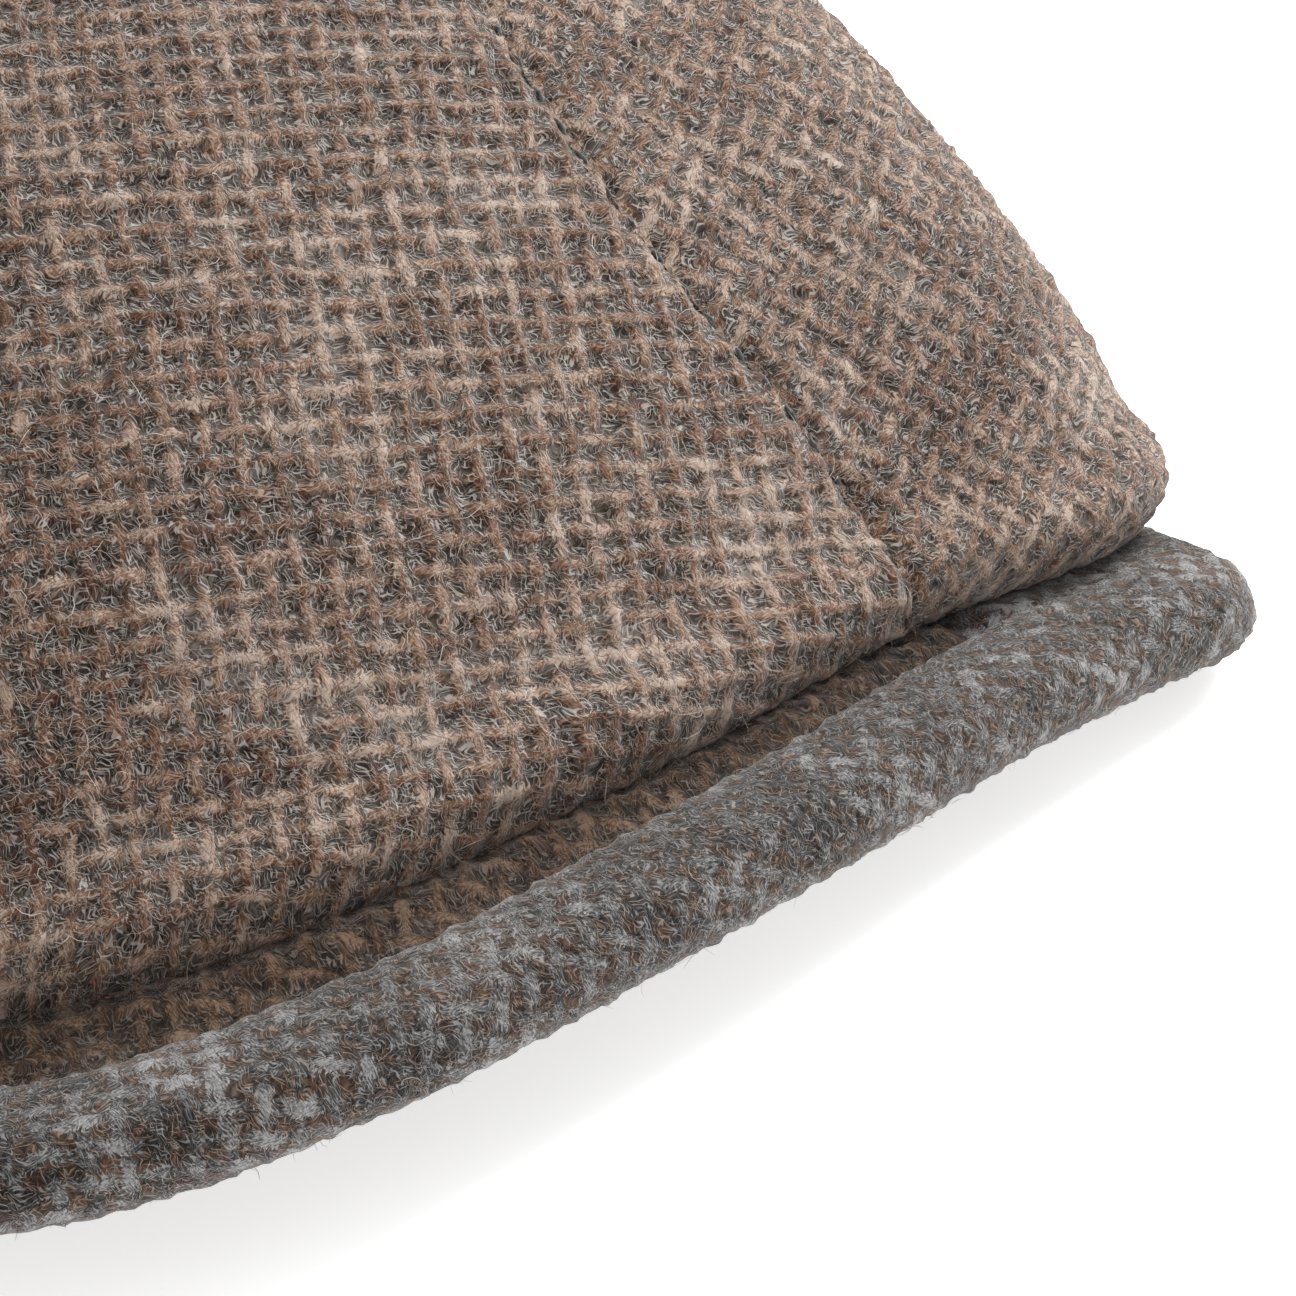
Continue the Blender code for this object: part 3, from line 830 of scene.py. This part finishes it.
def lofted(name, points, counts, shown):
    """A closed body through closed rings of points, of which a span of rows shows."""
    rings, around = points.shape[:2]
    number = np.arange(rings * around).reshape(rings, around)
    after = np.roll(number, -1, 1)
    quads = np.stack([number[:-1], number[1:], after[1:], after[:-1]], -1).reshape(-1, 4)
    polygons = quads.tolist() + [number[0].tolist(), number[-1][::-1].tolist()]
    row = np.tile(np.arange(around), rings - 1)
    finishes = np.where((row >= shown[0]) & (row < shown[1]), 0, 1).tolist() + [1, 1]
    return cloth_mesh(name, points.reshape(-1, 3) + OPENING, polygons, counts.reshape(-1, 2), finishes)


# Node trees


def maths(operation, turned=False):
    """A method of Wire that adds a Math node, with the values the other way round where turned."""

    def method(self, *others):
        values = (self, *others)[::-1] if turned else (self, *others)
        return self.tree.node("ShaderNodeMath", {"operation": operation}, values)

    return method


class Wire:
    """A value in a node tree, which Python's operators turn into Math nodes."""

    def __init__(self, tree, socket):
        self.tree, self.socket = tree, socket

    __add__ = __radd__ = maths("ADD")
    __sub__, __rsub__ = maths("SUBTRACT"), maths("SUBTRACT", turned=True)
    __mul__ = __rmul__ = maths("MULTIPLY")
    __truediv__, __abs__ = maths("DIVIDE"), maths("ABSOLUTE")
    least, most = maths("MINIMUM"), maths("MAXIMUM")
    rounded, cosine, sine = maths("ROUND"), maths("COSINE"), maths("SINE")

    def swing(self, size):
        """This value's way from a half, times a size."""
        return (self - 0.5) * size

    def between(self, low, high, to_low=0.0, to_high=1.0):
        """This value's way from low to high, eased at both ends, as a value between two others."""
        settings = {"interpolation_type": "SMOOTHSTEP"}
        return self.tree.node("ShaderNodeMapRange", settings, (self, low, high, to_low, to_high))


class Tree:
    """A node tree. Every node in it comes from one method."""

    def __init__(self, nodes):
        self.nodes = nodes

    def node(self, kind, settings=None, values=(), output=0):
        """A node with its settings and the values or links of its sockets, as one of its outputs."""
        made = self.nodes.nodes.new(kind)
        for key, value in (settings or {}).items():
            if key == "stops":
                ramp = made.color_ramp
                while len(ramp.elements) < len(value):
                    ramp.elements.new(1.0)
                for element, (place, colour) in zip(ramp.elements, value):
                    element.position, element.color = place, (*colour, 1.0)
            else:
                setattr(made, key, value)
        items = values.items() if isinstance(values, dict) else enumerate(values)
        for key, value in items:
            if isinstance(value, Wire):
                self.nodes.links.new(value.socket, made.inputs[key])
            elif value is not None:
                made.inputs[key].default_value = value
        return Wire(self, made.outputs[output]) if made.outputs else None

    def place(self, x, y, z=0.0):
        return self.node("ShaderNodeCombineXYZ", {}, (x, y, z))


class Finish(Tree):
    """A material and its tree."""

    def __init__(self, name):
        self.material = bpy.data.materials.new(name)
        self.material.use_nodes = True
        super().__init__(self.material.node_tree)
        self.nodes.nodes.clear()

    def mix(self, share, one, other):
        """A colour between two."""
        one, other = (c if isinstance(c, Wire) else (*c, 1.0) for c in (one, other))
        return self.node("ShaderNodeMix", {"data_type": "RGBA"}, {0: share, 6: one, 7: other}, output=2)

    def noise(self, place, scale, detail=0.0, roughness=0.5, output=0):
        """A noise over the plane, or with output 1 a vector of three."""
        values = {"Vector": place, "Scale": scale, "Detail": detail, "Roughness": roughness}
        return self.node("ShaderNodeTexNoise", {"noise_dimensions": "2D"}, values, output)

    def split(self, vector):
        """The first two numbers of a vector."""
        outputs = self.node("ShaderNodeSeparateXYZ", {}, (vector,)).socket.node.outputs
        return [Wire(self, socket) for socket in outputs[:2]]

    def ramp(self, value, stops, colours):
        return self.node("ShaderNodeValToRGB", {"stops": list(zip(stops, colours))}, (value,))

    def wool(self, colour, normal=None):
        """The finished material, as wool of this colour."""
        values = {"Base Color": colour, "Normal": normal, **WOOL}
        return self.finished(self.node("ShaderNodeBsdfPrincipled", {}, values))

    def finished(self, shader):
        self.node("ShaderNodeOutputMaterial", {}, (shader,))
        return self.material


# Wool and its colours

WOOL = {
    "Roughness": 0.92,
    "Specular IOR Level": 0.15,
    "Sheen Weight": 0.25,
    "Sheen Roughness": 0.5,
    "Sheen Tint": (1.0, 0.96, 0.92, 1.0),
}

# The studio is bright enough to lose the floor's edge, so a colour seen on lit cloth is divided by this
LIGHT = 1.5
Tones = namedtuple("Tones", "deep mid pale bright")


def seen(text):
    """The colour of a cloth that is seen as this one, written as on screen."""
    parts = [int(text[k : k + 2], 16) / 255 for k in (0, 2, 4)]
    return tuple((p / 12.92 if p <= 0.04045 else ((p + 0.055) / 1.055) ** 2.4) / LIGHT for p in parts)


def tones(*texts):
    """Four colours of one wool, from its shade to its brightest hair."""
    return Tones(*map(seen, texts))


BROWN_YARN = tones("3c2015", "7d563f", "a98a74", "d3c0b1")
GREY_WOOL = tones("1a130f", "4c423b", "8a8079", "cac3bd")
BROWN_TUFT = tones("0e0805", "452f23", "6e5241", "988373")
GREY_YARN = tones("080808", "2a2827", "676563", "b3b1b0")
# Painted shade: darker copies of the brown yarn and grey wool, for the peak's cover in the shade of the
# crease under the crown
PAINTED_SHADE_YARN = tones("22140c", "483122", "674d3a", "927863")
PAINTED_SHADE_WOOL = tones("0f0905", "2d2119", "554940", "887b71")
BROWN_LOOSE = tones("4a2f22", "86664f", "ae998a", "dbd2cb")
# Painted shade: darker loose brown wool, for the fibres on the peak's cover in the crease
PAINTED_SHADE_LOOSE = tones("2c1c13", "57402f", "7b6859", "aa9d92")
GREY_LOOSE = tones("2b2a2a", "5b5958", "868483", "bdbbb9")
THREAD = (seen("3a3f40"), seen("74797a"))


# The tweed

# A lay of fibres in the finish: the way they point, in degrees from the weft, how fine and how long they
# are against the repeat, the levels of their noise that show, how strongly, and their tone
Lay = namedtuple("Lay", "angle fine long low high strength tone")
LAYS = (
    Lay(20.0, 15.0, 3.0, 0.54, 0.70, 0.45, "deep"),
    Lay(81.0, 16.0, 3.0, 0.55, 0.70, 0.40, "mid"),
    Lay(137.0, 17.0, 3.0, 0.56, 0.70, 0.50, "pale"),
    Lay(-42.0, 17.0, 3.0, 0.60, 0.74, 0.45, "deep"),
    Lay(58.0, 19.0, 3.5, 0.60, 0.72, 0.60, "pale"),
    Lay(108.0, 20.0, 3.0, 0.65, 0.76, 0.80, "bright"),
    Lay(-8.0, 20.0, 3.0, 0.65, 0.76, 0.75, "bright"),
)
CURL = 0.52
YARN_CORE, YARN_SIDE = 0.05, 0.29
CREST_LEVEL, CREST_WAVE = 0.60, 0.40

# How strongly the noises count: at a yarn's edge, in its shade, in a well's shade and in a fibre's tones, and
# how much lighter a yarn is painted on its crest and darker at its edges, a painted shade
EDGE_FRAY, EDGE_DRIFT = 0.38, 0.28
HAIR_SHADE, BROAD_SHADE, CREST_PAINTED_SHADE, YARN_SHADE = 1.4, 1.4, 0.6, 0.40
BEND_SHADE, STREAK_SHADE, WELL_SHADE = 0.9, 1.0, 0.28
MIXED_FIBRES = 0.8
YARN_STOPS = (0.05, 0.42, 0.68, 1.0)
WELL_STOPS = (0.05, 0.50, 0.80, 1.0)


def fibre_streaks(f, counts, u, v, offset):
    """Streaks of a stretched noise for each lay, bent by a slower one, and that one."""
    bend_u, bend_v = f.split(f.noise(counts, 1.6, 1.0, output=1))
    bent_u, bent_v = u + bend_u.swing(CURL), v + bend_v.swing(CURL)
    streaks = []
    for k, lay in enumerate(LAYS):
        along, across = math.cos(math.radians(lay.angle)), math.sin(math.radians(lay.angle))
        length = (bent_u * along + bent_v * across) * lay.long
        width = (bent_v * along - bent_u * across) * lay.fine + (offset + 3.7 * k)
        streaks.append(f.noise(f.place(length, width), 1.0))
    return streaks, bend_u


def tweed(name, yarn, well, offset, spread=0.0, heather=1.7):
    """Fuzzy tweed: a lattice of heathered yarns over wells, with curled fibres over all of it."""
    f = Finish(name)
    counts = f.node("ShaderNodeUVMap", {"uv_map": "weave"})
    u, v = f.split(counts)
    streaks, bend = fibre_streaks(f, counts, u, v, offset)

    # Where the yarns run, with ragged edges, and which of them is on top
    core, side = YARN_CORE + spread, YARN_SIDE + spread
    near_u, near_v = u.rounded(), v.rounded()
    ragged = streaks[1].swing(EDGE_FRAY) + streaks[2].swing(EDGE_FRAY) + bend.swing(EDGE_DRIFT)
    warp = (abs(u - near_u) + ragged).between(core, side, 1.0, 0.0)
    weft = (abs(v - near_v) + ragged).between(core, side, 1.0, 0.0)
    warp_high = warp * (((v + near_u) * math.pi).cosine() * CREST_WAVE + CREST_LEVEL)
    weft_high = weft * (((u + near_v) * math.pi).cosine() * -CREST_WAVE + CREST_LEVEL)
    on_yarn = warp_high.most(weft_high)
    is_warp = (warp_high - weft_high).between(-0.10, 0.10)

    # Each yarn's own tone, how it changes along the yarn, and the twisted fibres in it
    warp_tone = f.noise(f.place(near_u * 7.31 + offset, v * 0.45), 1.0, 1.0, 0.6)
    weft_tone = f.noise(f.place(u * 0.45 + offset, near_v * 7.31), 1.0, 1.0, 0.6)
    warp_hair = f.noise(f.place(u * 11.0 + v * 5.0, v * 3.0), 1.7, 1.0, 0.7)
    weft_hair = f.noise(f.place(u * 3.0, v * 11.0 - u * 5.0), 1.7, 1.0, 0.7)
    tone = is_warp * (warp_tone - weft_tone) + weft_tone
    hair = is_warp * (warp_hair - weft_hair) + weft_hair
    broad = f.noise(counts, 0.20, 2.0, 0.6)
    shade = tone.swing(heather) + hair.swing(HAIR_SHADE) + broad.swing(BROAD_SHADE)
    # Each yarn is painted lighter on its crest and darker at its edges, where it dips into the wells: painted
    # shade
    yarn_colour = f.ramp(shade + on_yarn.swing(CREST_PAINTED_SHADE) + YARN_SHADE, YARN_STOPS, yarn)
    dark = bend.swing(BEND_SHADE) + broad.swing(BROAD_SHADE) + streaks[0].swing(STREAK_SHADE) + WELL_SHADE
    well_colour = f.ramp(dark, WELL_STOPS, well)
    colour = f.mix(on_yarn.between(0.10, 0.56), well_colour, yarn_colour)

    # Fibres of the yarns' wool over the yarns, and of the wells' wool over the wells
    share = (on_yarn + streaks[3].swing(MIXED_FIBRES) + tone.swing(MIXED_FIBRES)).between(0.05, 0.55)
    free = 1 - on_yarn * 0.45
    for lay, streak in zip(LAYS, streaks):
        drawn = streak.between(lay.low, lay.high) * free * lay.strength
        fibre = f.mix(share, getattr(well, lay.tone), getattr(yarn, lay.tone))
        colour = f.mix(drawn, colour, fibre)

    nearest = abs(u - near_u).least(abs(v - near_v))
    height = nearest.between(core, side, 1.0, 0.0) + streaks[4] * 0.5
    normal = f.node("ShaderNodeBump", {}, {"Strength": 0.8, "Distance": 0.0002, "Height": height})
    return f.wool(colour, normal)


def thread_finish():
    """Dark thread with its plies."""
    f = Finish("dark_grey_thread")
    place = f.node("ShaderNodeTexCoord", {}, (), output=3)
    ply = f.node("ShaderNodeTexNoise", {}, {"Vector": place, "Scale": 2500.0, "Detail": 1.0})
    return f.wool(f.ramp(ply, (0.3, 0.7), THREAD))


# Loose wool

FIBRE_POINTS = 6
FLOOR_CLEAR = 0.00005
Fuzz = namedtuple("Fuzz", "density step turn stand width seed")
CROWN_FUZZ = Fuzz(660000.0, 0.00052, 0.80, 0.0009, 0.00006, 5)
SIDE_FUZZ = Fuzz(500000.0, 0.00052, 0.80, 0.0010, 0.00006, 17)
PEAK_FUZZ = Fuzz(1100000.0, 0.00052, 0.80, 0.0010, 0.00006, 23)
COVER_FUZZ = Fuzz(800000.0, 0.00052, 0.80, 0.0009, 0.00006, 29)


def fuzz_tree():
    """Curled fibres grown on a cloth's face: each walks over the cloth, turning as it goes."""
    group = bpy.data.node_groups.new("loose_wool", "GeometryNodeTree")
    group.is_modifier = True
    sockets = {
        "Cloth": "Geometry",
        "Fibres per square metre": "Float",
        "Step": "Float",
        "Turn at each step": "Float",
        "Stand": "Float",
        "Width": "Float",
        "Seed": "Int",
        "Wool": "Material",
    }
    for name, kind in sockets.items():
        group.interface.new_socket(name, in_out="INPUT", socket_type=f"NodeSocket{kind}")
    group.interface.new_socket("Fibres", in_out="OUTPUT", socket_type="NodeSocketGeometry")
    t = Tree(group)
    cloth = t.node("NodeGroupInput")
    density, step, turn, stand, width, seed, wool = (
        Wire(t, cloth.socket.node.outputs[k]) for k in range(1, len(sockets))
    )

    def random(low, high, shift, by=None):
        values = {2: low, 3: high, 8: seed + shift}
        if by is not None:
            values[7] = by
        return t.node("FunctionNodeRandomValue", {"data_type": "FLOAT"}, values, output=1)

    def read(name, kind):
        return t.node("GeometryNodeInputNamedAttribute", {"data_type": kind}, (name,))

    face = 1 - t.node("GeometryNodeInputMaterialIndex")
    roots = t.node("GeometryNodeDistributePointsOnFaces", {}, {0: cloth, 1: face, 4: density, 6: seed})
    turned = Wire(t, roots.socket.node.outputs[2])
    tone, number = random(0.0, 1.0, 1), t.node("GeometryNodeInputIndex")
    kept = (("turned", turned, "QUATERNION"), ("fibre", number, "INT"), ("tone", tone, "FLOAT"))
    for name, value, kind in kept:
        values = {0: roots, 2: name, 3: value}
        roots = t.node("GeometryNodeStoreNamedAttribute", {"data_type": kind, "domain": "POINT"}, values)
    points = t.node("GeometryNodeDuplicateElements", {"domain": "POINT"}, {0: roots, 2: FIBRE_POINTS})
    along = Wire(t, points.socket.node.outputs[1])
    fibre, turned = read("fibre", "INT"), read("turned", "QUATERNION")

    def summed(value, kind, output):
        return t.node("GeometryNodeAccumulateField", {"data_type": kind}, (value, fibre), output)

    heading = summed(random(-1.0, 1.0, 2, fibre) * turn + random(-0.5, 0.5, 3) * turn, "FLOAT", 0)
    heading = heading + random(0.0, TAU, 4, fibre)
    stride = random(0.5, 1.3, 5, fibre) * step
    walked = summed(t.place(heading.cosine() * stride, heading.sine() * stride), "FLOAT_VECTOR", 1)
    share = along / (FIBRE_POINTS - 1)
    rise = (share * random(1.3, 3.2, 6, fibre)).sine() * random(0.1, 1.0, 7, fibre) * stand
    offset = t.node("ShaderNodeVectorMath", {"operation": "ADD"}, (walked, t.place(0.0, 0.0, rise)))
    offset = t.node("FunctionNodeRotateVector", {}, (offset, turned))
    points = t.node("GeometryNodeSetPosition", {}, {0: points, 3: offset})
    curves = t.node("GeometryNodePointsToCurves", {}, (points, fibre, along))
    tilt = t.place(random(-0.9, 0.9, 8, fibre), random(-0.9, 0.9, 9, fibre), 1.0)
    upward = t.node("FunctionNodeRotateVector", {}, (tilt, turned))
    curves = t.node("GeometryNodeSetCurveNormal", {"mode": "FREE"}, {0: curves, 2: upward})
    taper = 1 - abs(share * 2 - 1) * 0.75
    half = width * random(0.3, 0.65, 10, fibre)
    side = t.node("GeometryNodeCurvePrimitiveLine", {}, ((0.0, -1.0, 0.0), (0.0, 1.0, 0.0)))
    mesh = t.node("GeometryNodeCurveToMesh", {}, {0: curves, 1: side, 2: taper * half})
    mesh = t.node("GeometryNodeRealizeInstances", {}, (mesh,))
    mesh = t.node("GeometryNodeSetMaterial", {}, {0: mesh, 2: wool})
    t.node("NodeGroupOutput", {}, (mesh,))
    return group


def loose_wool(tree, name, cloth, fuzz, finish):
    """The fibres on one piece of cloth, as a plain mesh."""
    host = placed("host", cloth.data)
    modifier = host.modifiers.new("loose_wool", "NODES")
    modifier.node_group = tree
    inputs = [item.identifier for item in tree.interface.items_tree if item.in_out == "INPUT"]
    for identifier, value in zip(inputs[1:], (*fuzz, finish)):
        modifier[identifier] = value
    evaluated = host.evaluated_get(bpy.context.evaluated_depsgraph_get())
    mesh = bpy.data.meshes.new_from_object(evaluated)
    host.modifiers.remove(modifier)
    bpy.data.objects.remove(host)
    mesh.name = name
    places = np.empty(len(mesh.vertices) * 3, np.float32)
    mesh.vertices.foreach_get("co", places)
    places[2::3] = np.maximum(places[2::3], FLOOR_CLEAR)
    mesh.vertices.foreach_set("co", places)
    return placed(name, mesh)


def loose_finish(name, wool):
    """Loose fibres, each of its own tone between four."""
    f = Finish(name)
    tone = f.node("ShaderNodeAttribute", {"attribute_name": "tone"}, (), output=2)
    return f.wool(f.ramp(tone, (0.0, 0.35, 0.7, 1.0), wool))


# Stage and camera

FLOOR_HALF = 3.0
TABLE_GLOW = 0.66
ROOM_LIGHT = 0.62
LIGHTS = (
    ("key", (0.76, 0.36, 0.84), 0.6, 19.4),
    ("fill", (-0.6, -0.8, 0.8), 0.9, 1.5),
)
EYE_LOW, EYE_ASIDE, EYE_ROLL = 25.0, 5.5, 9.0
EYE_PLACE = (0.0153, -0.4278, 0.1722)
FRAME_PIXELS = 1296
FOCAL_PIXELS = 5077.0
SENSOR = 36.0


def stage():
    """A white floor that glows a little, a white room and two soft lights."""
    mesh = bpy.data.meshes.new("floor")
    corners = [(x * FLOOR_HALF, y * FLOOR_HALF, 0) for x, y in ((-1, -1), (1, -1), (1, 1), (-1, 1))]
    mesh.from_pydata(corners, [], [(0, 1, 2, 3)])
    floor = placed("floor", mesh)
    f = Finish("lit_table_white")
    values = {"Base Color": (0.9, 0.9, 0.9, 1), "Roughness": 0.9, "Emission Color": (1, 1, 1, 1)}
    shader = f.node("ShaderNodeBsdfPrincipled", {}, {**values, "Emission Strength": TABLE_GLOW})
    mesh.materials.append(f.finished(shader))
    world = bpy.data.worlds.new("studio")
    world.use_nodes = True
    background = world.node_tree.nodes["Background"]
    background.inputs["Color"].default_value = (1.0, 1.0, 1.0, 1)
    background.inputs["Strength"].default_value = ROOM_LIGHT
    bpy.context.scene.world = world
    bpy.context.scene.view_settings.view_transform = "Standard"
    for name, place, size, watts in LIGHTS:
        data = bpy.data.lights.new(name, "AREA")
        data.shape, data.size, data.energy = "SQUARE", size, watts
        lamp = placed(name, data)
        lamp.location = place
        lamp.rotation_euler = (-Vector(place)).to_track_quat("-Z", "Y").to_euler()


def camera():
    """The photograph's view: where the eye is, which way it looks, and how far it is rolled."""
    low, aside, roll = (math.radians(a) for a in (EYE_LOW, EYE_ASIDE, EYE_ROLL))
    ahead = Vector((math.sin(aside) * math.cos(low), math.cos(aside) * math.cos(low), -math.sin(low)))
    level = Vector((math.cos(aside), -math.sin(aside), 0))
    over = level.cross(ahead)
    right = level * math.cos(roll) - over * math.sin(roll)
    up = level * math.sin(roll) + over * math.cos(roll)
    data = bpy.data.cameras.new("eye")
    data.sensor_width = SENSOR
    data.lens = FOCAL_PIXELS / FRAME_PIXELS * SENSOR
    data.clip_start = 0.01
    eye = placed("eye", data)
    turned = Matrix((right, up, -ahead)).transposed().to_4x4()
    turned.translation = Vector(EYE_PLACE) + Vector(OPENING)
    eye.matrix_world = turned
    bpy.context.scene.camera = eye


# The whole cap

TOP_SEED = 11
SIDE_SEED = 37

# The cloths as they were cut: width and length, area, and what carries them
Cut = namedtuple("Cut", "flat area rests_on")


def main():
    """Camera, stage, the cap's cloths with their loose wool, and the thread."""
    camera()
    stage()
    face = tweed("brown_tweed_face", BROWN_YARN, GREY_WOOL, 0.0)
    # The peak's cover gets darker copies of the brown tweed and of its loose wool: painted shade of the
    # crease
    shaded = tweed("painted_shade_brown_tweed", PAINTED_SHADE_YARN, PAINTED_SHADE_WOOL, 7.0)
    reverse = tweed("grey_tweed_reverse", GREY_YARN, BROWN_TUFT, 3.0, spread=0.08, heather=1.2)
    brown_wool = loose_finish("brown_loose_wool", BROWN_LOOSE)
    shade_painted_wool = loose_finish("painted_shade_brown_loose_wool", PAINTED_SHADE_LOOSE)
    grey_wool = loose_finish("grey_loose_wool", GREY_LOOSE)
    tree = fuzz_tree()
    crown = panel("top_panel_cloth", top_net(), inside_top, False, TOP_SEED)
    crown += panel("side_panel_cloth", side_net(), inside_side, True, SIDE_SEED)
    pieces = [
        (crown[0], "top_panel", face, CROWN_FUZZ, brown_wool),
        (crown[1], "side_panel_left", face, SIDE_FUZZ, brown_wool),
        (crown[2], "side_panel_right", face, SIDE_FUZZ, brown_wool),
        (peak_cloth(), "peak", reverse, PEAK_FUZZ, grey_wool),
        (cover_cloth(), "peak_top_cover", shaded, COVER_FUZZ, shade_painted_wool),
    ]
    stitches = seam_stitches()
    stitches.data.materials.append(thread_finish())
    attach(stitches, "root")
    for piece, node, finish, fuzz, wool in pieces:
        piece.data.materials.append(finish)
        piece.data.materials.append(reverse)
        loose = loose_wool(tree, f"{node}_fuzz", piece, fuzz, wool)
        for made in (piece, loose):
            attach(made, "root")
        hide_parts(node)


main()
